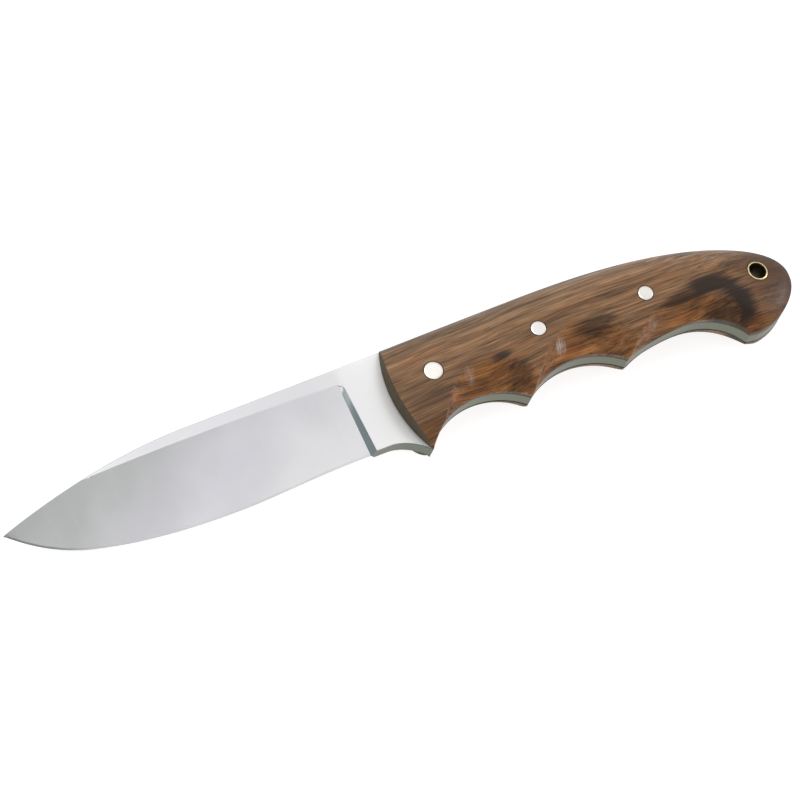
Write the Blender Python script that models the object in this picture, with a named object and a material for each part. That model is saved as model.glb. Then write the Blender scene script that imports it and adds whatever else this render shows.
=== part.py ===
"""A full-tang fixed-blade knife with carved wooden scales, lying on its side.

Everything is drawn in the knife's own plane: x = 0 at the point and grows towards the butt, y = 0 along
the straight back with the cutting edge on the -y side, and z = 0 in the middle of the steel. The empty
"knife" carries that drawing to the ground, with the middle of the object over the origin.
"""

import math

import bmesh
import bpy
import numpy as np
from mathutils import Matrix, Vector
from mathutils.geometry import interpolate_bezier

MM = 0.001

# Blade: drop point, ground on both sides from a line just below the back.
BLADE_LENGTH = 103.5 * MM  # point to heel
BLADE_WIDTH = 25.1 * MM  # back to edge at the heel
BELLY_WIDTH = 26.2 * MM  # back to edge at the widest place
BELLY_AT = 64.0 * MM  # that place, from the point
POINT_DROP = 9.4 * MM  # point below the back
STRAIGHT_BACK_AT = 58.0 * MM  # where the back stops curving, from the point
STOCK = 4.4 * MM  # thickness of the steel
EDGE_THICKNESS = 0.4 * MM
GRIND_TOP = 3.1 * MM  # unground strip below the back, at its narrowest
GRIND_TOP_AT = 52.0 * MM
GRIND_TOP_HEEL = 4.4 * MM  # the same strip at the heel
PLUNGE_RUN = 1.1 * MM  # how far the step at the end of the grind leans forward

# Handle: outline shared by the tang and both scales.
RICASSO_LENGTH = 9.5 * MM  # heel to the foremost point of the scales
HANDLE_LENGTH = 116.8 * MM  # foremost point of the scales to the butt
QUILLON_SETBACK = 4.8 * MM  # lower guard point behind the front of the scales
QUILLON_DEPTH = 30.3 * MM
FIRST_GROOVE_WIDTH = 31.4 * MM
FIRST_GROOVE_DEPTH = 6.9 * MM
SECOND_GROOVE_WIDTH = 29.1 * MM
SECOND_GROOVE_DEPTH = 5.35 * MM
THIRD_GROOVE_LEVEL = 23.6 * MM  # bottom of the last groove below the back
CUSP_DEPTH = 26.8 * MM
HOOK_SETBACK = 17.4 * MM  # hook behind the last groove, forward of the butt
HOOK_DEPTH = 32.5 * MM
TOE_DEPTH = 32.9 * MM  # lowest place of the butt
BUTT_DEPTH = 20.8 * MM  # rearmost place of the butt, below the back
THIRD_GROOVE_SETBACK = 33.3 * MM  # bottom of the last groove forward of the butt
BACK_STRAIGHT = 43.0 * MM  # front of the scales to where the back begins to fall
SHOULDER_SETBACK = 21.4 * MM  # where the back turns down into the butt
SHOULDER_DROP = 5.5 * MM
SHOULDER_SLOPE = 0.286

# Scales: crowned slabs glued and pinned to the tang.
FRONT_ARC_RADIUS = 34.3 * MM
FRONT_ARC_DEPTH = 15.4 * MM  # foremost point below the back
PALM_THICKNESS = 19.2 * MM
PALM_AT = 66.0 * MM  # thickest place, behind the front of the scales
FRONT_THICKNESS = 16.4 * MM
BUTT_FALL = 36.0 * MM  # length over which the crown falls to the butt
CROWN_POWER = 2.4  # 2 is an ellipse, more is squarer
BUTT_POWER = 3.0
BACK_OVERHANG = 0.4 * MM  # how far the crowned form stands past the outline
LOWER_OVERHANG = 1.2 * MM
BUTT_OVERHANG = 0.9 * MM
QUILLON_EASING = 1.5 * MM  # how far the form is drawn in at the lower guard point
BOND_GAP = 0.3 * MM  # between tang and scale

# Finger hollows, sanded into each scale over its groove. A hollow is round at every height and leans
# back as it rises: its circle is given just above the tang and at the crown. Each circle has its
# centre's distance behind the middle of the groove, its centre's depth below the back, and its radius.
HOLLOWS = (
    ((1.8 * MM, 37.3 * MM, 16.6 * MM), (4.8 * MM, 30.0 * MM, 15.5 * MM)),
    ((-0.5 * MM, 41.7 * MM, 20.4 * MM), (3.3 * MM, 31.0 * MM, 16.2 * MM)),
    ((-2.5 * MM, 46.5 * MM, 23.8 * MM), (0.4 * MM, 41.5 * MM, 23.1 * MM)),
)
HOLLOW_LOW = 1.8 * MM  # height of the first circle over the tang
HOLLOW_HIGH = 6.8 * MM  # height of the second

# Pins and lanyard tube.
FRONT_PIN_DIAMETER = 5.0 * MM
REAR_PIN_DIAMETER = 4.0 * MM
FRONT_PIN_AT = 12.5 * MM  # behind the front of the scales
PIN_PITCH = 31.6 * MM
PIN_DEPTHS = (12.0 * MM, 11.8 * MM, 13.4 * MM)  # below the back
TUBE_DIAMETER = 5.6 * MM
TUBE_WALL = 0.4 * MM
TUBE_SETBACK = 9.1 * MM  # tube centre forward of the butt
TUBE_DEPTH = 18.2 * MM
PIN_CLEARANCE = 0.3 * MM  # round each pin and the tube

# Places that follow from the sizes above.
SCALE_FRONT = BLADE_LENGTH + RICASSO_LENGTH
BUTT = SCALE_FRONT + HANDLE_LENGTH
QUILLON = (SCALE_FRONT + QUILLON_SETBACK, -QUILLON_DEPTH)
FIRST_CUSP = (QUILLON[0] + FIRST_GROOVE_WIDTH, -CUSP_DEPTH)
SECOND_CUSP = (FIRST_CUSP[0] + SECOND_GROOVE_WIDTH, -CUSP_DEPTH)
HOOK = (BUTT - HOOK_SETBACK, -HOOK_DEPTH)
HALF_STOCK = STOCK / 2
REACH = 15 * MM  # cutters and blanks stand this far past what they cut

CURVE_STEPS = 10
SECTION_POINTS = 32
STATIONS = 26


def start_scene():
    """Empty the scene and make the object's collection, the cutters' collection and the placing empty."""
    for old in list(bpy.data.objects):
        bpy.data.objects.remove(old, do_unlink=True)
    parts = bpy.data.collections.new("fixed_blade_knife")
    cutters = bpy.data.collections.new("cutters")
    for collection in (parts, cutters):
        bpy.context.scene.collection.children.link(collection)
    knife = bpy.data.objects.new("knife", None)
    knife.location = (-BUTT / 2, TOE_DEPTH / 2, PALM_THICKNESS / 2)
    parts.objects.link(knife)
    return parts, cutters, knife


def material(name, colour, roughness, metallic):
    made = bpy.data.materials.new(name)
    made.use_nodes = True
    shader = made.node_tree.nodes["Principled BSDF"]
    shader.inputs["Base Color"].default_value = (*colour, 1)
    shader.inputs["Roughness"].default_value = roughness
    shader.inputs["Metallic"].default_value = metallic
    return made


# ---- outlines ----------------------------------------------------------------------------------------


def bend(start, lead, arrive, end, steps=CURVE_STEPS):
    """Points of a cubic curve, without its last one, so that pieces of an outline can be chained."""
    corners = [Vector((x, y, 0)) for x, y in (start, lead, arrive, end)]
    return [(p.x, p.y) for p in interpolate_bezier(*corners, steps + 1)[:-1]]


def groove_arc(start, end, depth, steps=2 * CURVE_STEPS):
    """Points of a circular arc that rises depth towards +y above its chord, without its last one."""
    start, end = Vector(start), Vector(end)
    chord = end - start
    radius = chord.length**2 / (8 * depth) + depth / 2
    rise = Vector((-chord.y, chord.x)).normalized() * math.copysign(1, chord.x)
    centre = (start + end) / 2 + rise * (depth - radius)
    turn = (start - centre).angle_signed(end - centre)
    spokes = [Matrix.Rotation(-turn * i / steps, 2) @ (start - centre) for i in range(steps)]
    return [tuple(centre + spoke) for spoke in spokes]


def back_of_blade():
    """From the point up to the straight back."""
    first_rise = 0.4 * POINT_DROP
    return bend((0, -POINT_DROP), (14 * MM, first_rise - POINT_DROP), (36 * MM, 0), (STRAIGHT_BACK_AT, 0))


def back_of_handle():
    """From where the back begins to fall, round the top of the butt to its rearmost place."""
    fall_start = (SCALE_FRONT + BACK_STRAIGHT, 0)
    shoulder = (BUTT - SHOULDER_SETBACK, -SHOULDER_DROP)
    before = (shoulder[0] - 16 * MM, shoulder[1] + 16 * MM * SHOULDER_SLOPE)
    after = (shoulder[0] + 9 * MM, shoulder[1] - 9 * MM * SHOULDER_SLOPE)
    fall = bend(fall_start, (fall_start[0] + 18 * MM, 0), before, shoulder)
    return fall + bend(shoulder, after, (BUTT, -BUTT_DEPTH + 7.5 * MM), (BUTT, -BUTT_DEPTH))


def under_butt():
    """From the rearmost place down and forward to the hook."""
    toe = (HOOK[0] + 2.4 * MM, -TOE_DEPTH)
    rear = (BUTT, -BUTT_DEPTH)
    return bend(rear, (BUTT, rear[1] - 5.8 * MM), (toe[0] + 6.7 * MM, toe[1]), toe) + [toe]


def finger_grooves():
    """From the hook forward over the three grooves to the quillon."""
    bottom = (BUTT - THIRD_GROOVE_SETBACK, -THIRD_GROOVE_LEVEL)
    into = bend(HOOK, (HOOK[0] - 2.6 * MM, HOOK[1] + 5.1 * MM), (bottom[0] + 7.5 * MM, bottom[1]), bottom)
    out = bend(bottom, (bottom[0] - 7 * MM, bottom[1]),
               (SECOND_CUSP[0] + 4.2 * MM, SECOND_CUSP[1] + 1.9 * MM), SECOND_CUSP)
    second = groove_arc(SECOND_CUSP, FIRST_CUSP, SECOND_GROOVE_DEPTH)
    first = groove_arc(FIRST_CUSP, QUILLON, FIRST_GROOVE_DEPTH)
    return into + out + second + first


def ricasso_curve():
    """From the quillon forward to the heel."""
    flat = (BLADE_LENGTH + 4 * MM, -BLADE_WIDTH)
    under_point = (QUILLON[0] - 2.8 * MM, QUILLON[1] + 3.1 * MM)
    return bend(QUILLON, under_point, (flat[0] + 3.5 * MM, flat[1]), flat) + [flat]


def cutting_edge():
    """From the heel along the belly to the point."""
    heel = (BLADE_LENGTH, -BLADE_WIDTH)
    belly = (BELLY_AT, -BELLY_WIDTH)
    sweep = (22.4 * MM, -BELLY_WIDTH + 4.3 * MM)
    point = (0, -POINT_DROP)
    rear = bend(heel, (heel[0] - 10.5 * MM, heel[1] + 0.6 * MM), (belly[0] + 10 * MM, belly[1]), belly)
    middle = bend(belly, (belly[0] - 16 * MM, belly[1]), (34 * MM, sweep[1] - 2.9 * MM), sweep)
    front = bend(sweep, (13 * MM, sweep[1] + 2.1 * MM), (5.5 * MM, point[1] - 5.5 * MM), point)
    return rear + middle + front


def scale_front():
    """The round front of a scale, from the quillon up to the back."""
    centre = (SCALE_FRONT + FRONT_ARC_RADIUS, -FRONT_ARC_DEPTH)
    below = math.asin((QUILLON_DEPTH - FRONT_ARC_DEPTH) / FRONT_ARC_RADIUS)
    above = math.asin(FRONT_ARC_DEPTH / FRONT_ARC_RADIUS)
    angles = np.linspace(-below, above, 2 * CURVE_STEPS)
    return [(centre[0] - FRONT_ARC_RADIUS * math.cos(a), centre[1] + FRONT_ARC_RADIUS * math.sin(a))
            for a in angles]


def line_through(points):
    """The points as a function of x: y by straight interpolation."""
    xs, ys = zip(*sorted(points))
    return lambda x: float(np.interp(x, xs, ys))


# ---- solids ------------------------------------------------------------------------------------------


def add_object(name, mesh, collection, knife, finish=None):
    made = bpy.data.objects.new(name, mesh)
    collection.objects.link(made)
    made.parent = knife
    if finish:
        mesh.materials.clear()
        mesh.materials.append(finish)
        mesh.shade_smooth()
        mesh.set_sharp_from_angle(angle=math.radians(25))
    return made


def plate(name, outline, low, high):
    """Mesh of a flat plate with this outline, between the heights low and high."""
    curve = bpy.data.curves.new(name, "CURVE")
    curve.dimensions = "2D"
    curve.fill_mode = "BOTH"
    curve.extrude = (high - low) / 2
    spline = curve.splines.new("POLY")
    spline.points.add(len(outline) - 1)
    for point, (x, y) in zip(spline.points, outline):
        point.co = (x, y, 0, 1)
    spline.use_cyclic_u = True
    guide = bpy.data.objects.new(name, curve)
    bpy.context.scene.collection.objects.link(guide)
    mesh = bpy.data.meshes.new_from_object(guide.evaluated_get(bpy.context.evaluated_depsgraph_get()))
    bpy.data.objects.remove(guide)
    shape = bmesh.new()
    shape.from_mesh(mesh)
    bmesh.ops.remove_doubles(shape, verts=shape.verts, dist=1e-6)
    bmesh.ops.translate(shape, verts=shape.verts, vec=(0, 0, (high + low) / 2))
    bmesh.ops.recalc_face_normals(shape, faces=shape.faces)
    shape.to_mesh(mesh)
    shape.free()
    mesh.name = name
    return mesh


def cone(name, base_radius, top_radius, length, segments=48):
    """Mesh of a cone or rod along z, with its middle at the origin."""
    shape = bmesh.new()
    bmesh.ops.create_cone(shape, cap_ends=True, segments=segments, radius1=base_radius,
                          radius2=top_radius, depth=length)
    mesh = bpy.data.meshes.new(name)
    shape.to_mesh(mesh)
    shape.free()
    return mesh


def rod(name, radius, length):
    return cone(name, radius, radius, length)


def loft(name, sections):
    """Mesh skinned over a row of closed sections that all have the same number of points."""
    shape = bmesh.new()
    rings = [[shape.verts.new(point) for point in section] for section in sections]
    for ring, following in zip(rings, rings[1:]):
        for i, corner in enumerate(ring):
            shape.faces.new((ring[i - 1], corner, following[i], following[i - 1]))
    shape.faces.new(rings[0])
    shape.faces.new(reversed(rings[-1]))
    bmesh.ops.recalc_face_normals(shape, faces=shape.faces)
    mesh = bpy.data.meshes.new(name)
    shape.to_mesh(mesh)
    shape.free()
    return mesh


def cut(target, tool, operation="DIFFERENCE"):
    modifier = target.modifiers.new(tool.name, "BOOLEAN")
    modifier.operation = operation
    modifier.solver = "EXACT"
    modifier.object = tool


# ---- the crowned form of the handle ------------------------------------------------------------------


def half_thickness(x):
    """Half the thickness of the crowned form along its middle line."""
    peak = SCALE_FRONT + PALM_AT
    thinning = (PALM_THICKNESS - FRONT_THICKNESS) / 2
    height = PALM_THICKNESS / 2 - (thinning * ((x - peak) / PALM_AT) ** 2 if x < peak else 0)
    fall = max(0, (x - (BUTT - BUTT_FALL)) / (BUTT_FALL + BUTT_OVERHANG))
    return height * max(0, 1 - fall**BUTT_POWER) ** (1 / BUTT_POWER)


def form_limits():
    """Functions of x for the upper and lower limits of the crowned form."""
    upper = line_through([(0, 0), *back_of_handle(), (BUTT, -BUTT_DEPTH)])
    start = (QUILLON[0], QUILLON[1] + QUILLON_EASING)
    chain = bend(start, (start[0] + 20 * MM, start[1] + 2.8 * MM),
                 (HOOK[0] - 27 * MM, HOOK[1] + 10 * MM), HOOK)
    lower = line_through([(0, start[1]), *chain, *under_butt()])
    return upper, lower


def squared(share):
    """A sine or cosine pushed outwards, which turns a round section into the squarer crowned one."""
    return math.copysign(abs(share) ** (2 / CROWN_POWER), share)


def handle_form():
    """The whole handle as the maker sands it: both crowned sides in one closed form."""
    upper, lower = form_limits()
    front = SCALE_FRONT - REACH / 3
    sections = []
    for i in range(STATIONS):
        along = math.sin(math.pi / 2 * i / (STATIONS - 0.5))
        drawn = front + along * (BUTT - front)
        x = front + along * (BUTT + BUTT_OVERHANG - front)
        high, low = upper(drawn) + BACK_OVERHANG, lower(drawn) - LOWER_OVERHANG
        section = []
        for j in range(SECTION_POINTS):
            angle = 2 * math.pi * j / SECTION_POINTS
            across, up = squared(math.cos(angle)), squared(math.sin(angle))
            section.append((x, (high + low) / 2 + across * (high - low) / 2, up * half_thickness(x)))
        sections.append(section)
    return loft("handle_form", sections)


# ---- blade -------------------------------------------------------------------------------------------


def grind_cutter(side):
    """What the grinder takes off one side: a wedge from the grind line down to the edge."""
    sections = []
    for x, y in cutting_edge() + [(0, -POINT_DROP)]:
        bow = (x - GRIND_TOP_AT) / (BLADE_LENGTH - GRIND_TOP_AT)
        top = -GRIND_TOP - (GRIND_TOP_HEEL - GRIND_TOP) * bow**2
        fall = (HALF_STOCK - EDGE_THICKNESS / 2) / (top - y)
        wedge = ((top + MM, REACH), (top + MM, HALF_STOCK + MM * fall), (y, EDGE_THICKNESS / 2),
                 (y - REACH, EDGE_THICKNESS / 2), (y - REACH, REACH))
        lean = PLUNGE_RUN / HALF_STOCK if not sections else 0
        sections.append([(x - lean * (HALF_STOCK - up), across, side * up) for across, up in wedge])
    beyond = [(-REACH, across, up) for _, across, up in sections[-1]]
    return loft("grind", [*sections, beyond])


def make_blade(parts, cutters, knife, holes):
    outline = [*back_of_blade(), (STRAIGHT_BACK_AT, 0), *back_of_handle(), *under_butt()]
    outline += [*finger_grooves(), *ricasso_curve(), *cutting_edge()]
    steel = material("satin_steel", (0.72, 0.72, 0.73), 0.3, 1)
    blade = add_object("blade", plate("blade", outline, -HALF_STOCK, HALF_STOCK), parts, knife, steel)
    for side in (1, -1):
        cut(blade, helper("grind", grind_cutter(side), cutters, knife))
    for hole in holes:
        cut(blade, hole)


def helper(name, mesh, cutters, knife, location=(0, 0, 0)):
    """A cutter: seen as wires, left out of renders and of the object."""
    made = add_object(name, mesh, cutters, knife)
    made.location = location
    made.hide_render = True
    made.display_type = "WIRE"
    return made


# ---- scales ------------------------------------------------------------------------------------------


def hollow_cutters(cutters, knife):
    """What the leaning drum sands away over each groove, as a cone sheared back towards the crown."""
    ends = (QUILLON[0], FIRST_CUSP[0], SECOND_CUSP[0], HOOK[0])
    base, top = HALF_STOCK, PALM_THICKNESS / 2 + 2 * MM
    tools = []
    for number, (start, end, circles) in enumerate(zip(ends, ends[1:], HOLLOWS), 1):
        middle = (start + end) / 2
        low, high = (np.array([middle + shift, -depth, radius]) for shift, depth, radius in circles)
        slope = (high - low) / (HOLLOW_HIGH - HOLLOW_LOW)
        at_base, at_top = (low + slope * (z - HALF_STOCK - HOLLOW_LOW) for z in (base, top))
        lean = Matrix.Translation((*(at_base + at_top)[:2] / 2, (base + top) / 2))
        lean[0][2], lean[1][2] = slope[:2]
        mesh = cone(f"hollow_{number}", at_base[2], at_top[2], top - base, 96)
        mesh.transform(lean)
        tools.append(helper(mesh.name, mesh, cutters, knife))
    return tools


def make_scales(parts, cutters, knife, form, holes):
    wood = material("oiled_rosewood", (0.13, 0.06, 0.03), 0.4, 0)
    outline = [*scale_front(), *back_of_handle(), *under_butt(), *finger_grooves()]
    face = HALF_STOCK + BOND_GAP
    left = add_object("left_scale", plate("left_scale", outline, face, REACH), parts, knife, wood)
    cut(left, form, "INTERSECT")
    for tool in [*hollow_cutters(cutters, knife), *holes]:
        cut(left, tool)
    bpy.context.view_layer.update()
    carved = bpy.data.meshes.new_from_object(left.evaluated_get(bpy.context.evaluated_depsgraph_get()))
    carved.transform(Matrix.Scale(-1, 4, (0, 0, 1)))
    carved.flip_normals()
    add_object("right_scale", carved, parts, knife, wood)


# ---- pins and tube -----------------------------------------------------------------------------------


def pin_places():
    """(x, y) of the three pins, front to back, and of the lanyard tube."""
    places = [(SCALE_FRONT + FRONT_PIN_AT + i * PIN_PITCH, -depth) for i, depth in enumerate(PIN_DEPTHS)]
    return [*places, (BUTT - TUBE_SETBACK, -TUBE_DEPTH)]


def make_holes(cutters, knife):
    diameters = (FRONT_PIN_DIAMETER, REAR_PIN_DIAMETER, REAR_PIN_DIAMETER, TUBE_DIAMETER)
    names = ("front_pin_hole", "middle_pin_hole", "rear_pin_hole", "lanyard_hole")
    holes = []
    for name, diameter, (x, y) in zip(names, diameters, pin_places()):
        mesh = rod(name, diameter / 2 + PIN_CLEARANCE, PALM_THICKNESS + REACH)
        holes.append(helper(name, mesh, cutters, knife, (x, y, 0)))
    return holes


def make_pins(parts, cutters, knife, form):
    """Plain rods and one tube through the whole handle, sanded flush with the crowned form."""
    nickel = material("nickel_silver", (0.85, 0.83, 0.76), 0.25, 1)
    brass = material("brass", (0.8, 0.6, 0.28), 0.25, 1)
    pins = (
        ("front_pin", FRONT_PIN_DIAMETER, nickel),
        ("middle_pin", REAR_PIN_DIAMETER, nickel),
        ("rear_pin", REAR_PIN_DIAMETER, nickel),
        ("lanyard_tube", TUBE_DIAMETER, brass),
    )
    for (name, diameter, finish), (x, y) in zip(pins, pin_places()):
        pin = add_object(name, rod(name, diameter / 2, PALM_THICKNESS + REACH), parts, knife, finish)
        pin.location = (x, y, 0)
        cut(pin, form, "INTERSECT")
    bore = rod("tube_bore", TUBE_DIAMETER / 2 - TUBE_WALL, PALM_THICKNESS + 2 * REACH)
    cut(pin, helper("tube_bore", bore, cutters, knife, pin.location))


def main():
    parts, cutters, knife = start_scene()
    form = helper("handle_form", handle_form(), cutters, knife)
    holes = make_holes(cutters, knife)
    make_blade(parts, cutters, knife, holes)
    make_scales(parts, cutters, knife, form, holes)
    make_pins(parts, cutters, knife, form)


main()
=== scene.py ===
"""The looks of a full-tang knife with pinned wooden scales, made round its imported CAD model.

Each piece is drawn in the knife's own plane, in millimetres: x = 0 at the point and grows towards the
butt, y = 0 along the straight back with the cutting edge on the -y side, and z = 0 in the middle of the
steel. An object's location carries that drawing to where the CAD model lies.
"""

import math

import bmesh
import bpy
import numpy as np
from mathutils import Matrix, Vector


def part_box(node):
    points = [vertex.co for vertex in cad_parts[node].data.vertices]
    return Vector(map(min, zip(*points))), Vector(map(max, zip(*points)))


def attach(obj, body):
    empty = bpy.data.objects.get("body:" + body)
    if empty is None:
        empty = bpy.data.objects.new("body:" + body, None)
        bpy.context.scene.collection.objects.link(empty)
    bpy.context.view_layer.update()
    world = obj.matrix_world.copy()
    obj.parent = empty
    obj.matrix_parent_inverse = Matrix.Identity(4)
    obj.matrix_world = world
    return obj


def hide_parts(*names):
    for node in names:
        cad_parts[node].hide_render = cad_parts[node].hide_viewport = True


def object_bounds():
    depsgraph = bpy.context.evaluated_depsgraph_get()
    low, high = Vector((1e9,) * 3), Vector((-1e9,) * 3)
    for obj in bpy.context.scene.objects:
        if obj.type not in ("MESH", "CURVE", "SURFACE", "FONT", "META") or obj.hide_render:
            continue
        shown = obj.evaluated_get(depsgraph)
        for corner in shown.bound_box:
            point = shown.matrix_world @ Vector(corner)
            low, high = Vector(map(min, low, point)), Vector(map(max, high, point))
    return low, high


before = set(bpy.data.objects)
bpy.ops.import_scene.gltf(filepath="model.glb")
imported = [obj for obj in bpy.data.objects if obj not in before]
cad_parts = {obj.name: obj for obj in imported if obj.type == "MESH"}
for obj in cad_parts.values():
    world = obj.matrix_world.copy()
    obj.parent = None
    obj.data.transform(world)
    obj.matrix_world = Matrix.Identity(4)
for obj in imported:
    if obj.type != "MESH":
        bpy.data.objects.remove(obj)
cad_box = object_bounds()

# ---- Blade ---------------------------------------------------------------------------------------------
# One bar of stainless steel: drop-point blade, ricasso and full tang. The sides are ground flat, the
# bevels are ground in from a line just below the back, and the edge is honed on last.

MM = 0.001
blade_low, blade_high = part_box("blade")
scale_low, scale_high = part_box("left_scale")
PLACE = Vector((blade_low.x, blade_high.y, (blade_low.z + blade_high.z) / 2))
BUTT = (blade_high.x - blade_low.x) / MM
SCALE_FRONT = (scale_low.x - blade_low.x) / MM
HALF_STOCK = (blade_high.z - blade_low.z) / 2 / MM
TOE_DEPTH = (blade_high.y - blade_low.y) / MM

POINT_DROP = 9.4
HEEL = (SCALE_FRONT - 9.5, -25.1)
BELLY = (64, -26.2)
QUILLON = (SCALE_FRONT + 4.8, -30.3)
FIRST_CUSP = (QUILLON[0] + 31.4, -26.8)
SECOND_CUSP = (FIRST_CUSP[0] + 29.1, -26.8)
HOOK = (BUTT - 17.4, -32.5)
TOE = (HOOK[0] + 2.4, -TOE_DEPTH)
REAR = (BUTT, -20.8)
GRIND_TOP = 3.1  # unground strip below the back at its narrowest
GRIND_TOP_AT = 52
GRIND_TOP_HEEL = 4.4
LEAST_FLAT = 0.4  # what is left of the flat where it runs out at the point
PLUNGE_CORNER = 1.6  # radius where the plunge turns into the grind line
PLUNGE_RUN = 1.4  # width of the plunge along the blade, where it isn't shallow
PLUNGE_SHALLOW = 0.3  # depth of bevel under which the plunge narrows
PLUNGE_HOLLOW = 0.25  # share of its rise that comes late, which leaves it slightly hollow
EDGE_SHOULDER = 0.2  # half the thickness where honing begins
HONED_WIDTH = 0.5
EDGE_TIP = 0.03  # half the thickness of the very edge
EASING = 0.18  # broken corners of the bar
EDGE_STOPS = 1.5  # length ahead of the heel over which the honed edge fades out
AROUND = 72  # corners of everything round
DRILL_LENGTH = 60
FLAT_ROWS = 5  # rows of points over the flat, and over the bevel below it
BEVEL_ROWS = 26
WELD = 1e-7  # metres; closer points of the two halves are one


def curve(start, lead, arrive, end, steps=60):
    """Points of a cubic curve without its last one, so that curves can be chained."""
    t = np.linspace(0, 1, steps, endpoint=False)[:, None]
    a, b, c, d = (np.array(corner, float) for corner in (start, lead, arrive, end))
    return a * (1 - t) ** 3 + 3 * b * t * (1 - t) ** 2 + 3 * c * t**2 * (1 - t) + d * t**3


def groove(start, end, rise, steps=60):
    """Points of a circular arc that stands rise above its chord, without its last one."""
    start, end = np.array(start), np.array(end)
    half = np.linalg.norm(end - start) / 2
    radius = half**2 / (2 * rise) + rise / 2
    along = (end - start) / (2 * half)
    up = np.array([-along[1], along[0]])
    centre = (start + end) / 2 + up * (rise - radius)
    turn = np.linspace(-1, 1, steps, endpoint=False)[:, None] * math.asin(half / radius)
    return centre + radius * (np.sin(turn) * along + np.cos(turn) * up)


def through(*stretches):
    """The chained points as a function that gives y for x."""
    points = np.concatenate([np.reshape(stretch, (-1, 2)) for stretch in stretches])
    return lambda x: np.interp(x, points[:, 0], points[:, 1])


shoulder = (BUTT - 21.4, -5.5)
back = through(
    curve((0, -POINT_DROP), (14, -0.6 * POINT_DROP), (36, 0), (58, 0)),
    (58, 0),
    curve((SCALE_FRONT + 43, 0), (SCALE_FRONT + 61, 0), (shoulder[0] - 16, shoulder[1] + 4.576), shoulder),
    curve(shoulder, (shoulder[0] + 9, shoulder[1] - 2.574), (BUTT, REAR[1] + 7.5), REAR, 400),
    REAR,
)
groove_floor = (BUTT - 33.3, -23.6)
under_blade = [
    curve((0, -POINT_DROP), (5.5, -POINT_DROP - 5.5), (13, -19.8), (22.4, -21.9)),
    curve((22.4, -21.9), (34, -24.8), (BELLY[0] - 16, BELLY[1]), BELLY),
    curve(BELLY, (BELLY[0] + 10, BELLY[1]), (HEEL[0] - 10.5, HEEL[1] + 0.6), HEEL),
    HEEL,
    curve((HEEL[0] + 4, HEEL[1]), (HEEL[0] + 7.5, HEEL[1]), (QUILLON[0] - 2.8, QUILLON[1] + 3.1), QUILLON),
]
under_handle = [
    groove(QUILLON, FIRST_CUSP, 6.9),
    groove(FIRST_CUSP, SECOND_CUSP, 5.35),
    curve(SECOND_CUSP, (SECOND_CUSP[0] + 4.2, -24.9), (groove_floor[0] - 7, groove_floor[1]), groove_floor),
    curve(groove_floor, (groove_floor[0] + 7.5, groove_floor[1]), (HOOK[0] - 2.6, HOOK[1] + 5.1), HOOK),
    HOOK,
    curve(TOE, (TOE[0] + 6.7, TOE[1]), (BUTT, REAR[1] - 5.8), REAR, 400),
    REAR,
]
under = through(*under_blade, *under_handle)


def columns(*keys, pitch=0.8):
    """Evenly pitched places through each of the keys, crowded towards the last one."""
    places = [np.linspace(a, b, max(2, round((b - a) / pitch)), endpoint=False)
              for a, b in zip(keys[:-2], keys[1:-1])]
    run = keys[-1] - keys[-2]
    crowd = np.linspace(1, 0.015, round(2.2 * run / pitch))
    return np.concatenate([*places, keys[-1] - run * crowd**2])


def grind_line(x):
    """y of the top of the bevel."""
    return -GRIND_TOP - (GRIND_TOP_HEEL - GRIND_TOP) * ((x - GRIND_TOP_AT) / (HEEL[0] - GRIND_TOP_AT)) ** 2


def plunge_top(y):
    """x where the plunge reaches the flat, drawn forward in a small corner below the grind line."""
    below = np.clip(-GRIND_TOP_HEEL - y, 0, PLUNGE_CORNER)
    return HEEL[0] - PLUNGE_CORNER + np.sqrt(PLUNGE_CORNER**2 - (PLUNGE_CORNER - below) ** 2)


def plunge_run(depth):
    """How wide the plunge is where the bevel lies that deep under the flat."""
    return PLUNGE_RUN * np.sqrt(np.clip(depth / PLUNGE_SHALLOW, 0.01, 1))


def bevel_depth(x, y):
    """How deep the bevel lies under the flat, less than 0 beyond the grind line."""
    top, low = grind_line(x), under(x)
    return (HALF_STOCK - EDGE_SHOULDER) * (top - y) / (top - low)


def steel_height(x, y):
    """Height of the left side of the steel over its middle plane."""
    depth = np.maximum(bevel_depth(x, y), 0)
    climb = np.clip(1 - (plunge_top(y) - x) / plunge_run(depth), 0, 1)
    return HALF_STOCK - depth * (1 - climb * (1 - PLUNGE_HOLLOW + PLUNGE_HOLLOW * climb))


def steel_rows(x):
    """y of each row of the mesh across the bar, from the back to the edge or the underside."""
    high, low = back(x), under(x)
    top = min(grind_line(x) if x < HEEL[0] else -GRIND_TOP_HEEL, high - LEAST_FLAT)
    share = np.clip((HEEL[0] - x) / EDGE_STOPS, 0, 1)
    honed = share * min(HONED_WIDTH, (top - low) / 4) + (1 - share) * EASING
    flat = np.linspace(high - min(EASING, (high - top) / 3), top, FLAT_ROWS)
    bevel = np.linspace(top, low + honed, BEVEL_ROWS)[1:]
    return np.concatenate([[high], flat, bevel, [low]])


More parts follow.
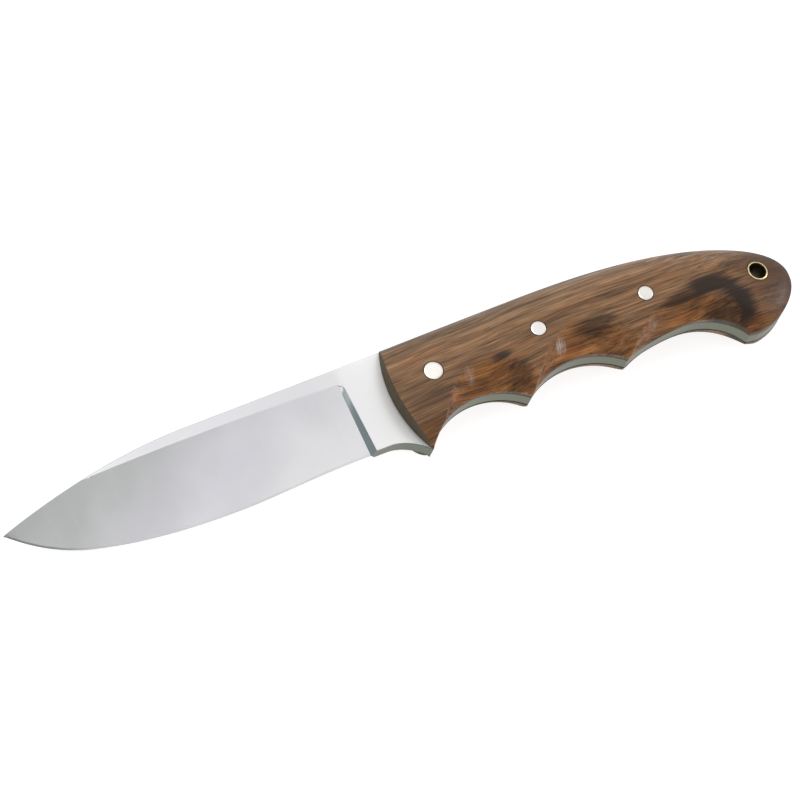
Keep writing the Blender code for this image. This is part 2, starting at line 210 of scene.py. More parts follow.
def steel_side():
    """Grid of points over the left side of the bar, with its columns following the plunge."""
    before, after = HEEL[0] - 8, HEEL[0] + 6
    guide = steel_rows(HEEL[0] - 1)
    top = plunge_top(guide)
    foot = top - plunge_run(bevel_depth(np.full_like(guide, HEEL[0] - PLUNGE_RUN), guide))
    places = [np.full_like(guide, x) for x in columns(0.06, 1.5, pitch=0.12)[:-1]]
    places += [np.full_like(guide, x) for x in np.arange(1.5, before, 0.75)]
    places += [before + (foot - before) * share for share in np.linspace(0, 1, 11)[:-1]]
    places += [foot + (top - foot) * share for share in np.linspace(0, 1, 6)]
    places += [top + (after - top) * share for share in np.linspace(0, 1, 9)[1:-1]]
    keys = (after, QUILLON[0], FIRST_CUSP[0], SECOND_CUSP[0], HOOK[0], TOE[0], BUTT)
    places += [np.full_like(guide, x) for x in columns(*keys)]
    grid = []
    for x in places:
        y = np.array([steel_rows(at)[row] for row, at in enumerate(x)])
        z = steel_height(x, y)
        z[0] = max(z[0] - EASING, EDGE_TIP)
        z[-1] = EDGE_TIP if x[-1] < HEEL[0] - 0.7 * EDGE_STOPS else max(z[-1] - EASING, EDGE_TIP)
        grid.append(np.stack([x, y, z], axis=1))
    return np.array(grid)


def settled(shape, name):
    """The drawn shape as a mesh of that name; the drawing is given up."""
    mesh = bpy.data.meshes.new(name)
    shape.to_mesh(mesh)
    shape.free()
    return mesh


def stood(name, data):
    """A new object of the mesh, camera or light, put in the scene."""
    made = bpy.data.objects.new(name, data)
    bpy.context.scene.collection.objects.link(made)
    return made


def slab(name, surface, base, capped=True):
    """Mesh with the grid of points as its upper side and straight walls down to the height base."""
    shape = bmesh.new()
    grid = [[shape.verts.new(point * MM) for point in column] for column in surface]
    for left, right in zip(grid, grid[1:]):
        for corners in zip(left, right, right[1:], left[1:]):
            shape.faces.new(corners)
    border = grid[0] + [column[-1] for column in grid[1:-1]] + grid[-1][::-1]
    border += [column[0] for column in grid[-2:0:-1]]
    foot = [shape.verts.new((*corner.co.xy, base * MM)) for corner in border]
    for i in range(len(border)):
        shape.faces.new((border[i - 1], border[i], foot[i], foot[i - 1]))
    if capped:
        shape.faces.new(foot)
    bmesh.ops.recalc_face_normals(shape, faces=shape.faces)
    return settled(shape, name)


def mirrored(mesh):
    """A copy of the mesh on the other side of the steel."""
    copy = mesh.copy()
    copy.transform(Matrix.Scale(-1, 4, (0, 0, 1)))
    copy.flip_normals()
    return copy


def drilled(mesh, drills):
    """The mesh with a round hole for each (x, y, radius)."""
    shape = bmesh.new()
    for x, y, radius in drills:
        made = bmesh.ops.create_cone(shape, cap_ends=True, segments=AROUND, radius1=radius * MM,
                                     radius2=radius * MM, depth=DRILL_LENGTH * MM)
        bmesh.ops.translate(shape, verts=made["verts"], vec=(x * MM, y * MM, 0))
    drill = stood("drill", settled(shape, "drill"))
    blank = stood("blank", mesh)
    cut = blank.modifiers.new("holes", "BOOLEAN")
    cut.operation = "DIFFERENCE"
    cut.solver = "EXACT"
    cut.object = drill
    made = bpy.data.meshes.new_from_object(blank.evaluated_get(bpy.context.evaluated_depsgraph_get()))
    for helper in (drill, blank):
        bpy.data.objects.remove(helper)
    return made


def piece(name, mesh, finish, sharp):
    """Put a finished piece on the knife. Edges that turn by more than sharp degrees stay crisp."""
    made = stood(name, mesh)
    made.location = PLACE
    mesh.materials.clear()
    mesh.materials.append(finish)
    mesh.shade_smooth()
    mesh.set_sharp_from_angle(angle=math.radians(sharp))
    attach(made, "root")
    return made


class Signal:
    """One output of a material's nodes. Arithmetic on it adds the Math nodes that it needs.

    Without a socket it only serves to add a first node to its tree.
    """

    def __init__(self, tree, socket):
        self.tree = tree
        self.socket = socket

    def node(self, kind, values=(), stops=(), output=0, **settings):
        """Add a node: its settings first, then a ramp's stops, then what goes into its sockets."""
        made = self.tree.nodes.new("ShaderNode" + kind)
        for setting, value in settings.items():
            setattr(made, setting, value)
        for _ in stops[2:]:
            made.color_ramp.elements.new(1)
        for i, (place, colour) in enumerate(stops):
            made.color_ramp.elements[i].position = place
            made.color_ramp.elements[i].color = (*colour, 1)
        for socket, value in dict(values).items():
            if isinstance(value, Signal):
                self.tree.links.new(value.socket, made.inputs[socket])
            else:
                made.inputs[socket].default_value = value
        return Signal(self.tree, made.outputs[output])

    def maths(self, operation, *values):
        """The result of one Math operation on these values."""
        return self.node("Math", dict(enumerate(values)), operation=operation)

    def __add__(self, other):
        return self.maths("ADD", self, other)

    def __sub__(self, other):
        return self.maths("SUBTRACT", self, other)

    def __rsub__(self, other):
        return self.maths("SUBTRACT", other, self)

    def __mul__(self, other):
        return self.maths("MULTIPLY", self, other)

    def __abs__(self):
        return self.maths("ABSOLUTE", self)

    __radd__ = __add__
    __rmul__ = __mul__

    def over(self, other):
        """The larger of this and the other."""
        return self.maths("MAXIMUM", self, other)

    def between(self, low, high, smooth=True):
        """0 below low and 1 above high; low may be the larger, which turns it round."""
        settings = {"interpolation_type": "SMOOTHSTEP" if smooth else "LINEAR"}
        return self.node("MapRange", {"Value": self, "From Min": low, "From Max": high}, **settings)

    def stretched(self, x, y, z):
        """This vector with each of its parts multiplied."""
        return self.node("VectorMath", {0: self, 1: (x, y, z)}, operation="MULTIPLY")

    def moved(self, by):
        """This vector with another one added."""
        return self.node("VectorMath", {0: self, 1: by}, operation="ADD")

    def distance(self, at, size=(1, 1, math.inf)):
        """How far this place is from another, in its sizes; an infinite size leaves that direction out."""
        away = self.moved([-place for place in at]).stretched(*(1 / length for length in size))
        return away.node("VectorMath", {0: away}, output=1, operation="LENGTH")

    def noise(self, scale, detail=2.0, rough=0.5):
        """Cloudy noise, around 0.5, at the place that this vector gives."""
        return self.node("TexNoise", {"Vector": self, "Scale": scale, "Detail": detail, "Roughness": rough})

    def graded(self, *stops):
        """The colour that a ramp with these stops, each a place and its colour, gives for this."""
        return self.node("ValToRGB", {0: self}, stops)

    def tinted(self, colour, share, blend="MIX"):
        """This colour with the other colour mixed in by share."""
        values = {0: share, 6: self, 7: (*colour, 1)}
        return self.node("Mix", values, output=2, data_type="RGBA", blend_type=blend)

    def parts(self):
        """The x, y and z of this vector."""
        split = self.tree.nodes.new("ShaderNodeSeparateXYZ")
        self.tree.links.new(self.socket, split.inputs[0])
        return [Signal(self.tree, socket) for socket in split.outputs]


def finish_of(name, **sockets):
    """A new material, its main shader, and the place on the piece in millimetres."""
    made = bpy.data.materials.new(name)
    made.use_nodes = True
    shader = made.node_tree.nodes["Principled BSDF"]
    for socket, value in sockets.items():
        shader.inputs[socket.replace("_", " ")].default_value = value
    start = Signal(made.node_tree, None)
    where = start.node("TexCoord", output=3).stretched(1 / MM, 1 / MM, 1 / MM)
    return made, shader, where


def feed(shader, **signals):
    """Link each signal to the shader's socket of that name."""
    for socket, signal in signals.items():
        signal.tree.links.new(signal.socket, shader.inputs[socket.replace("_", " ")])


def bump(height, distance, strength):
    """A normal from the height, whose whole range is that many millimetres."""
    values = {"Height": height, "Distance": distance * MM, "Strength": strength}
    return height.node("Bump", values)


# The greys of the bevel, from the point to the heel: a painted reflection, darker towards the point.
BEVEL_REFLECTION_GREYS = (
    (0.15, (0.49, 0.50, 0.49)),
    (0.30, (0.48, 0.49, 0.48)),
    (0.40, (0.56, 0.565, 0.565)),
    (0.51, (0.61, 0.605, 0.63)),
    (0.65, (0.72, 0.715, 0.745)),
    (0.82, (0.84, 0.84, 0.84)),
    (0.95, (0.90, 0.90, 0.90)),
)
FLAT_GREY = (0.765, 0.76, 0.775)
# Painted reflection: the flats lighter near the heel.
HEEL_REFLECTION_GREY = (0.81, 0.81, 0.80)
# Painted light on the ricasso near the scales.
RICASSO_PAINTED_LIGHT = (0.88, 0.88, 0.87)
LINE_GREY = (0.60, 0.60, 0.60)
# Painted shade for the underside, and for the tang's underside in the grooves.
UNDERSIDE_SHADE_GREY = (0.155, 0.172, 0.142)
TANG_SHADE_GREY = (0.165, 0.170, 0.128)
BACK_GREY = (0.50, 0.51, 0.52)
# Painted shade of the plunge.
PLUNGE_SHADE_GREY = (0.205, 0.243, 0.252)


def steel_finish():
    """Satin bevels, flats with finer lengthwise lines, and a duller plunge, back and underside, with
    painted reflection greys along the blade, painted shade on the plunge and the underside, and painted
    light on the ricasso.
    """
    made, shader, where = finish_of("satin_steel", Metallic=1.0)
    x, y, _ = where.parts()
    east, north, up = where.node("NewGeometry", output=1).parts()
    side = abs(up)
    bevel = side.between(0.9975, 0.9965)
    wall = side.between(0.8, 0.6)
    spine = wall * north.between(0.2, 0.7)
    underside = wall * north.between(0.2, -0.1)
    plunge = side.between(0.994, 0.984) * east.between(-0.05, -0.12)
    plunge = plunge * x.between(HEEL[0] - 6, HEEL[0] - 5) * x.between(HEEL[0] + 0.2, HEEL[0])
    ricasso = (1 - bevel) * (1 - wall) * x.between(HEEL[0] - 2, HEEL[0] + 2)
    across = where.stretched(1.6, 0.05, 0.05).noise(1.0, 2.0)
    along = where.stretched(0.03, 1.8, 1.8).noise(1.0, 2.0)
    lines = across * bevel + along * (1 - bevel)
    cloud = where.noise(0.05, 3.0)
    # Painted reflection: the bevel darker towards the point and lighter towards the heel and the edge, and
    # the flats lighter towards the heel.
    travel = x - 1.5 * y + 30 * (cloud - 0.5)
    colour = travel.between(0, 140, smooth=False).graded(*BEVEL_REFLECTION_GREYS)
    colour = colour.tinted(FLAT_GREY, 1 - bevel)
    colour = colour.tinted(HEEL_REFLECTION_GREY, (1 - bevel) * x.between(HEEL[0] - 12, HEEL[0]))
    colour = colour.tinted(LINE_GREY, 0.18 * lines.between(0.58, 0.75))
    # Painted shade: the underside and the tang's underside painted dark grey-green.
    colour = colour.tinted(UNDERSIDE_SHADE_GREY, underside)
    colour = colour.tinted(TANG_SHADE_GREY, underside * x.between(SCALE_FRONT + 4, SCALE_FRONT + 12))
    colour = colour.tinted(BACK_GREY, spine)
    # Painted shade: the plunge painted dark.
    colour = colour.tinted(PLUNGE_SHADE_GREY, plunge)
    # Painted light: the ricasso lighter near the scales, hiding the reflection of their dark front.
    colour = colour.tinted(RICASSO_PAINTED_LIGHT, ricasso * x.between(HEEL[0] + 1, HEEL[0] + 8))
    rough = 0.26 + 0.04 * bevel + 0.14 * (underside + spine) + 0.1 * ricasso
    rough = rough + 0.05 * (lines - 0.5) + 0.05 * (cloud - 0.5)
    # The ricasso and the plunge are partly not metal, so that their painted light and painted shade show in
    # place of reflections.
    metal = 1 - 0.4 * ricasso * x.between(HEEL[0], HEEL[0] + 6) - 0.9 * plunge
    feed(shader, Base_Color=colour, Roughness=rough, Metallic=metal, Normal=bump(lines, 0.0008, 0.4))
    return made


# Each pin and the tube: x, y and radius.
PIN_PLACES = (
    (SCALE_FRONT + 12.5, -12.0, 2.5),
    (SCALE_FRONT + 44.1, -11.8, 2.0),
    (SCALE_FRONT + 75.7, -13.4, 2.0),
)
TUBE_PLACE = (BUTT - 9.1, -18.2, 2.8)
HOLE_GAP = 0.08  # room round each of them in its hole
drills = [(x, y, radius + HOLE_GAP) for x, y, radius in (*PIN_PLACES, TUBE_PLACE)]

half_bar = slab("blade_half", steel_side(), 0, capped=False)
bar = bmesh.new()
bar.from_mesh(half_bar)
bar.from_mesh(mirrored(half_bar))
bmesh.ops.remove_doubles(bar, verts=bar.verts, dist=WELD)
blade_mesh = drilled(settled(bar, "blade"), drills)
blade = piece("blade_steel", blade_mesh, steel_finish(), sharp=3.5)
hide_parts("blade")

# ---- Scales --------------------------------------------------------------------------------------------
# Two slabs of oiled rosewood, glued to the tang and shaped with it: crowned over the palm, rounded at
# the butt, and hollowed over each groove so that a finger wraps in. The right one mirrors the left.

BOND = (scale_low.z - blade_high.z) / MM
FACE = HALF_STOCK + BOND
CROWN = (scale_high.z - PLACE.z) / MM
FRONT_RADIUS = 34.3
FRONT_CENTRE = (SCALE_FRONT + FRONT_RADIUS, -15.4)
PALM_AT = SCALE_FRONT + 66
FRONT_THINNING = 1.4  # how much lower the crown is at the front than over the palm
BUTT_FALL = 36  # length over which the crown comes down to the butt
BUTT_OVERHANG = 0.9  # how far the crown's own outline runs past the steel at the butt, back and grooves
BACK_OVERHANG = 0.4
LOWER_OVERHANG = 1.2
CROWN_POWER = 2.4
BUTT_POWER = 3.0
ROUNDING = 0.35  # radius of the sanded corners
CRISP = 0.3  # width over which a hollow's front rim is rounded
EDGE_LEFT = 0.15  # thickness that the wood keeps at its edges
LOW_CIRCLE = FACE + 1.5  # heights at which the hollows' two circles are given
HIGH_CIRCLE = LOW_CIRCLE + 5
HOLLOW_REACH = 30
NO_HOLLOW = 40  # height above all of the wood
FIRST_MIDDLE = (QUILLON[0] + FIRST_CUSP[0]) / 2
SECOND_MIDDLE = (FIRST_CUSP[0] + SECOND_CUSP[0]) / 2
THIRD_MIDDLE = (SECOND_CUSP[0] + HOOK[0]) / 2
# Each hollow: its low circle and its high circle as (x, y, radius), then how softly its rear rolls out.
HOLLOWS = (
    ((FIRST_MIDDLE + 1.8, -37.3, 16.6), (FIRST_MIDDLE + 4.8, -30.0, 15.5), 0.9),
    ((SECOND_MIDDLE - 0.5, -41.7, 20.4), (SECOND_MIDDLE + 3.3, -31.0, 16.2), 1.6),
    ((THIRD_MIDDLE - 2.5, -46.5, 23.8), (THIRD_MIDDLE + 0.4, -41.5, 23.1), 3.0),
)
WOOD_ROWS = 112
WOOD_PITCH = 0.35

low_start = (QUILLON[0], QUILLON[1] + 1.5)
form_low = through(
    (0, low_start[1]),
    curve(low_start, (QUILLON[0] + 20, QUILLON[1] + 4.3), (HOOK[0] - 27, HOOK[1] + 10), HOOK),
    *under_handle[-3:],
)


def crown(x, y):
    """Height of the rounded form of the handle, before the hollows."""
    front = SCALE_FRONT - 5
    drawn = front + (x - front) * (BUTT - front) / (BUTT + BUTT_OVERHANG - front)
    high, low = back(drawn) + BACK_OVERHANG, form_low(drawn) - LOWER_OVERHANG
    out = np.clip(np.abs(2 * y - high - low) / (high - low), 0, 1)
    ahead = np.clip((PALM_AT - x) / (PALM_AT - SCALE_FRONT), 0, None)
    fall = np.clip((x - BUTT + BUTT_FALL) / (BUTT_FALL + BUTT_OVERHANG), 0, 1)
    spine = (CROWN - FRONT_THINNING * ahead**2) * (1 - fall**BUTT_POWER) ** (1 / BUTT_POWER)
    return spine * (1 - out**CROWN_POWER) ** (1 / CROWN_POWER)


def hollow(x, y, low, high):
    """Height at which a leaning round hollow begins over (x, y)."""
    run = (np.array(high) - np.array(low)) / (HIGH_CIRCLE - LOW_CIRCLE)
    away_x, away_y = x - low[0], y - low[1]
    a = run[0] ** 2 + run[1] ** 2 - run[2] ** 2
    b = away_x * run[0] + away_y * run[1] + low[2] * run[2]
    c = away_x**2 + away_y**2 - low[2] ** 2
    inside = b * b - a * c
    rise = (b - np.sqrt(np.maximum(inside, 0))) / a
    return np.where((inside > 0) & (c < HOLLOW_REACH**2), LOW_CIRCLE + rise, NO_HOLLOW)


def soft_least(a, b, width):
    """The lesser of two heights, rounded over where they cross."""
    near = np.clip(1 - np.abs(a - b) / width, 0, 1)
    return np.minimum(a, b) - near * near * width / 4


def rounded(distance):
    """How far a corner of radius ROUNDING falls at that distance inside its edge."""
    inset = np.clip(ROUNDING - distance, 0, ROUNDING)
    return ROUNDING - np.sqrt(ROUNDING**2 - inset**2)


def wood_height(x, y):
    """Height of the left scale: its crown, less the hollows and the sanded corners."""
    height = crown(x, y)
    for low, high, softness in HOLLOWS:
        turn = (x - low[0]) / np.hypot(x - low[0], y - low[1])
        width = CRISP + softness * np.clip(turn + 0.7, 0, 1)
        height = soft_least(height, hollow(x, y, low, high), width)
    slope = (under(x + 0.1) - under(x - 0.1)) / 0.2
    height = height - rounded((y - under(x)) / np.hypot(1, slope))
    ahead = np.minimum(x - FRONT_CENTRE[0], 0)
    height = height - rounded(FRONT_RADIUS - np.hypot(ahead, y - FRONT_CENTRE[1]))
    return np.maximum(height, FACE + EDGE_LEFT)


def wood_side():
    """Grid of points over the left scale: its first column is the round front, its rows crowd the edges."""
    share = np.linspace(0, 1, WOOD_ROWS)
    row = share - 0.75 * np.sin(2 * np.pi * share) / (2 * np.pi)
    top_angle = math.asin(-FRONT_CENTRE[1] / FRONT_RADIUS)
    low_angle = math.asin((QUILLON[1] - FRONT_CENTRE[1]) / FRONT_RADIUS)
    angle = top_angle + (low_angle - top_angle) * row
    front = np.stack([FRONT_CENTRE[0] - FRONT_RADIUS * np.cos(angle),
                      FRONT_CENTRE[1] + FRONT_RADIUS * np.sin(angle)], axis=1)
    straight = front[:1] + (front[-1:] - front[:1]) * row[:, None]
    grid = []
    first_groove = FIRST_CUSP[0] - QUILLON[0]
    steps = np.concatenate([[0, 0.05, 0.12, 0.22], np.arange(WOOD_PITCH, first_groove, WOOD_PITCH)])
    for step in steps / first_groove:
        upper = front[0][0] + step * (FIRST_CUSP[0] - front[0][0])
        lower = QUILLON[0] + step * first_groove
        ends = np.array([[upper, back(upper)], [lower, under(lower)]])
        line = ends[:1] + (ends[1:] - ends[:1]) * row[:, None]
        grid.append(line + (front - straight) * max(0, 1 - 2 * step) ** 2)
    for x in columns(FIRST_CUSP[0], SECOND_CUSP[0], HOOK[0], TOE[0], BUTT, pitch=WOOD_PITCH):
        grid.append(np.stack([np.full_like(row, x), back(x) + (under(x) - back(x)) * row], axis=1))
    flat = np.array(grid)
    return np.dstack([flat, wood_height(flat[..., 0], flat[..., 1])])


BROWNS = (
    (0.40, (0.058, 0.030, 0.014)),
    (0.468, (0.138, 0.073, 0.034)),
    (0.54, (0.234, 0.126, 0.060)),
    (0.63, (0.380, 0.208, 0.104)),
)
GLOWING_RED = (0.26, 0.085, 0.030)
BUTT_BROWN = (0.045, 0.018, 0.008)
SAWN_BROWN = (0.085, 0.072, 0.045)
FIGURE_BLACK = (0.020, 0.012, 0.008)
# Painted shadow along the tang.
SEAM_SHADOW_BLACK = (0.020, 0.013, 0.009)
PORE_BLACK = (0.03, 0.016, 0.008)
RIM_BLACK = (0.03, 0.020, 0.012)
# Painted highlight on the hollows' rims.
SCUFF_HIGHLIGHT_GREY = (0.62, 0.57, 0.50)
# What multiplies the browns, all painted light: a painted shade inside the hollows and on other faces
# turned to the edge, a painted shade on faces turned to the butt, and a painted sheen on faces turned
# towards the back.
HOLLOW_SHADE_TINT = (1.02, 0.80, 0.54)
BUTTWARD_SHADE_TINT = (0.70, 0.85, 0.97)
TOP_SHEEN_TINT = (1.0, 1.12, 1.30)
# The places below count from the front of the scales. Each knot: its middle, its reach and how dark it is.
KNOTS = (
    ((32.0, -15.0, 7.2), (3.6, 1.3, 3.0), 0.95),
    ((35.2, -21.0, 6.0), (3.0, 5.0, 4.0), 0.5),
    ((60.0, -15.9, 7.6), (7.0, 2.0, 3.0), 0.7),
    ((95.0, -26.0, 5.5), (5.5, 4.5, 4.0), 0.75),
    ((85.0, -18.2, 8.0), (6.0, 1.8, 4.0), 0.8),
    ((77.0, -22.0, 6.5), (5.0, 3.5, 4.0), 0.3),
    ((7.5, -21.0, 6.0), (8.0, 7.0, 6.0), 0.32),
)
ARCH_MIDDLE = (91.5, -25.5, 0)
ARCH_RADIUS = 8.6
# Each painted highlight on the rim of a hollow, hatched like the sanding marks in it: its middle and how
# pale it is.
SCUFF_HIGHLIGHTS = (
    ((21.4, -16.6, 7.5), 0.28),
    ((48.3, -18.2, 7.2), 0.6),
    ((74.3, -20.6, 6.6), 0.22),
)
SCUFF_HIGHLIGHT_REACH = (2.0, 3.6, 3.0)


def dark_figure(place, bands, streaks):
    """How black the wood is: ragged knots, and an arch over the third hollow."""
    x, y, _ = place.parts()
    arch = abs(place.distance(ARCH_MIDDLE) - ARCH_RADIUS) + 2.4 * (streaks - 0.5) + 1.5 * (bands - 0.5)
    dark = arch.between(4.4, 0.9) * y.between(-32, -28) * x.between(83, 90)
    for middle, reach, depth in KNOTS:
        ragged = place.distance(middle, reach) + (streaks - 0.5) + (bands - 0.5)
        dark = (depth * ragged.between(1.4, 0.6)).over(dark)
    return dark


def wood_finish(name, shift):
    """Oiled rosewood: bands and streaks along the handle, dark figure, open pores, and a worn sheen, with
    painted shade and painted sheen by which way a face turns, painted highlights on the hollows' rims and a
    painted shadow along the tang.
    """
    made, shader, where = finish_of(name, Specular_IOR_Level=0.25)
    drift = where.noise(0.03, 1.0).between(0.2, 0.8, smooth=False) - 0.5
    x, y, z = where.moved((shift, shift, 0)).parts()
    bent = where.node("CombineXYZ", {0: x, 1: y + 2.5 * drift, 2: z + 2.5 * drift})
    bands = bent.stretched(0.02, 0.45, 0.3).noise(1.0, 3.0, 0.6)
    streaks = bent.stretched(0.06, 2.2, 0.8).noise(1.0, 3.0, 0.65)
    fibres = bent.stretched(0.12, 4.5, 1.5).noise(1.0, 2.0, 0.6)
    glow = bent.moved((40, 9, 5)).stretched(0.04, 0.7, 0.7).noise(1.0, 3.0, 0.6)
    pores = bent.stretched(0.09, 3.2, 3.2).noise(1.0, 2.0, 0.5).between(0.60, 0.70)
    hatching = where.stretched(3.6, 0.25, 0.25).noise(1.0, 2.0)
    wear = where.noise(0.12, 3.0)
    place = where.moved((-SCALE_FRONT, 0, 0))
    along, _, height = place.parts()
    east, north, up = where.node("NewGeometry", output=1).parts()
    off_wall = abs(up).between(0.15, 0.4)
    sawn = east.between(-0.55, -0.85)
    scuff_highlight, rims = 0, 0
    for middle, depth in SCUFF_HIGHLIGHTS:
        scuff_highlight = (depth * place.distance(middle, SCUFF_HIGHLIGHT_REACH).between(1.1, 0.2)).over(scuff_highlight)
    for hole_x, hole_y, radius in drills:
        rims = where.distance((hole_x, hole_y, 0)).between(radius + 0.35, radius + 0.05).over(rims)
    colour = (0.42 * bands + 0.38 * streaks + 0.20 * fibres).graded(*BROWNS)
    colour = colour.tinted(GLOWING_RED, 0.45 * glow.between(0.52, 0.68))
    colour = colour.tinted(BUTT_BROWN, 0.9 * along.between(BUTT - SCALE_FRONT - 22, BUTT - SCALE_FRONT - 1))
    # Painted shade and painted sheen by which way a face turns.
    colour = colour.tinted(HOLLOW_SHADE_TINT, north.between(-0.15, -0.6) * off_wall, "MULTIPLY")
    colour = colour.tinted(BUTTWARD_SHADE_TINT, east.between(0.5, 0.85), "MULTIPLY")
    colour = colour.tinted(TOP_SHEEN_TINT, north.between(0.05, 0.5) * off_wall, "MULTIPLY")
    colour = colour.tinted(FIGURE_BLACK, 0.96 * dark_figure(place, bands, streaks))
    # Painted highlight: pale hatched patches on the hollows' rims.
    colour = colour.tinted(SCUFF_HIGHLIGHT_GREY, scuff_highlight * hatching.between(0.35, 0.7))
    # Painted shadow: the wood nearly black where it meets the tang.
    colour = colour.tinted(SEAM_SHADOW_BLACK, 0.8 * abs(height).between(FACE + 0.7, FACE))
    colour = colour.tinted(PORE_BLACK, 0.6 * pores)
    colour = colour.tinted(RIM_BLACK, 0.8 * rims)
    colour = colour.tinted(SAWN_BROWN, 0.85 * sawn)
    rough = 0.42 + 0.14 * (wear - 0.5) + 0.12 * (fibres - 0.5) + 0.15 * pores
    rough = rough + 0.35 * sawn + 0.2 * east.between(0.25, 0.6)
    grain = 0.6 * fibres + 0.4 * streaks - 0.5 * pores
    feed(shader, Base_Color=colour, Roughness=rough, Normal=bump(grain, 0.05, 0.6))
    return made


wood_surface = wood_side()
left_mesh = drilled(slab("left_scale", wood_surface, FACE), drills)
right_mesh = mirrored(left_mesh)
left_wood = wood_finish("rosewood_left", 0.0)
right_wood = wood_finish("rosewood_right", 31.0)
left_scale = piece("left_scale_wood", left_mesh, left_wood, sharp=40)
right_scale = piece("right_scale_wood", right_mesh, right_wood, sharp=40)
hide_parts("left_scale")
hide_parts("right_scale")

# ---- Glue lines ----------------------------------------------------------------------------------------
# A film of dark epoxy between the tang and each scale, squeezed out and wiped, so that it stands a
# hair inside both of them.

GLUE_INSET = 0.12
GLUE_SKIN = 0.01  # keeps the film's faces off those of its neighbours


def glue_finish():
    """Cured epoxy, nearly black and a little cloudy."""
    made, shader, where = finish_of("dark_epoxy", Roughness=0.45)
    cloud = where.noise(0.8, 3.0)
    colour = cloud.graded((0.3, (0.022, 0.015, 0.010)), (0.7, (0.05, 0.034, 0.022)))
    feed(shader, Base_Color=colour, Normal=bump(cloud, 0.02, 0.4))
    return made


def glue_film():
    """Grid over the upper side of the glue: the scale's outline drawn in by GLUE_INSET all round."""
    flat = wood_surface[::2, ::3, :2].copy()
    span = flat[:, :1, 1] - flat[:, -1:, 1]
    middle = (flat[:, :1, 1] + flat[:, -1:, 1]) / 2
    drawn_in = np.clip(1 - 2 * GLUE_INSET / (span + GLUE_SKIN), 0.2, 1)
    flat[..., 1] = middle + (flat[..., 1] - middle) * drawn_in
    flat[..., 0] += GLUE_INSET * (1 - 2 * (flat[..., 0] - SCALE_FRONT) / (BUTT - SCALE_FRONT))
    return np.dstack([flat, np.full(flat.shape[:2], FACE - GLUE_SKIN)])


epoxy = glue_finish()
left_film = drilled(slab("glue", glue_film(), HALF_STOCK + GLUE_SKIN), drills)
right_film = mirrored(left_film)
piece("left_glue_line", left_film, epoxy, sharp=40)
piece("right_glue_line", right_film, epoxy, sharp=40)

# ---- Pins ----------------------------------------------------------------------------------------------
# Rods of nickel silver through both scales and the tang, a thicker one in front, peened and sanded
# flush with the wood, so that their ends carry its crown.

PROUD = 0.02
PIN_ROUNDING = 0.1


def rod_end(x, y, radii):
    """Rings of points over the end of a rod or tube, one for each radius and its drop."""
    angle = np.linspace(0, 2 * np.pi, AROUND, endpoint=False)
    rings = []
    for radius, drop in radii:
        ring_x, ring_y = x + radius * np.cos(angle), y + radius * np.sin(angle)
        rings.append(np.stack([ring_x, ring_y, crown(ring_x, ring_y) + PROUD - drop], axis=1))
    return rings


def turned(name, x, y, radii, bored=False):
    """Mesh of a rod, or of a tube if it is bored, with both its ends shaped to the crown."""
    rings = rod_end(x, y, radii)
    rings += [ring * (1, 1, -1) for ring in reversed(rings)]
    shape = bmesh.new()
    loops = [[shape.verts.new(point * MM) for point in ring] for ring in rings]
    if bored:
        loops.append(loops[0])
    for inner, outer in zip(loops, loops[1:]):
        for i in range(len(inner)):
            shape.faces.new((inner[i - 1], inner[i], outer[i], outer[i - 1]))
    if not bored:
        shape.faces.new(loops[0])
        shape.faces.new(loops[-1])
    bmesh.ops.recalc_face_normals(shape, faces=shape.faces)
    return settled(shape, name)


def pin_finish():
    """Nickel silver with fine scratches from the last sanding."""
    made, shader, where = finish_of("nickel_silver", Metallic=1.0)
    scuffs = where.stretched(0.3, 2.5, 1.0).noise(2.0, 3.0)
    cloud = where.noise(0.5, 2.0)
    colour = cloud.graded((0.3, (0.86, 0.82, 0.76)), (0.7, (0.92, 0.89, 0.83)))
    rough = 0.32 + 0.15 * (scuffs - 0.5)
    feed(shader, Base_Color=colour, Roughness=rough, Normal=bump(scuffs, 0.004, 0.5))
    return made


nickel = pin_finish()
for node, (x, y, radius) in zip(("front_pin", "middle_pin", "rear_pin"), PIN_PLACES):
    radii = [(0.3, 0), *((radius * share, 0) for share in (0.3, 0.55, 0.8)), (radius - PIN_ROUNDING, 0),
             (radius - 0.3 * PIN_ROUNDING, 0.3 * PIN_ROUNDING), (radius, PIN_ROUNDING)]
    pin = piece(node + "_rod", turned(node, x, y, radii), nickel, sharp=35)
    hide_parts(node)

# ---- Lanyard tube --------------------------------------------------------------------------------------
# A thin brass tube lines the hole near the butt, its lips sanded flush. Inside, below its lips, it is dark
# brown.

TUBE_WALL = 0.4
LIP = 0.1  # rounding of the tube's lips
BORE_BROWN = (0.035, 0.018, 0.006)


def brass_finish():
    """Aged brass, bright on the lips and dark brown down in the bore."""
    made, shader, where = finish_of("aged_brass", Metallic=1.0)
    height = where.parts()[2]
    x, y, radius = TUBE_PLACE
    wall = where.distance((x, y, 0)).between(radius - 0.3, radius - 0.39)
    bore = wall * abs(height).between(7.6, 6.2)
    stains = where.noise(1.2, 3.0)
    colour = stains.graded((0.3, (0.86, 0.66, 0.33)), (0.7, (0.93, 0.78, 0.48)))
    colour = colour.tinted(BORE_BROWN, 0.95 * bore)
    rough = 0.28 + 0.2 * bore + 0.15 * (stains - 0.5)
    feed(shader, Base_Color=colour, Roughness=rough, Normal=bump(stains, 0.01, 0.4))
    return made


tube_x, tube_y, outer = TUBE_PLACE
inner = outer - TUBE_WALL
lips = [(inner, LIP), (inner + 0.04, 0.02), (inner + LIP, 0),
        (outer - LIP, 0), (outer - 0.03, 0.03), (outer, LIP)]
tube_mesh = turned("lanyard_tube", tube_x, tube_y, lips, bored=True)
tube = piece("lanyard_tube_brass", tube_mesh, brass_finish(), sharp=35)
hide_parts("lanyard_tube")

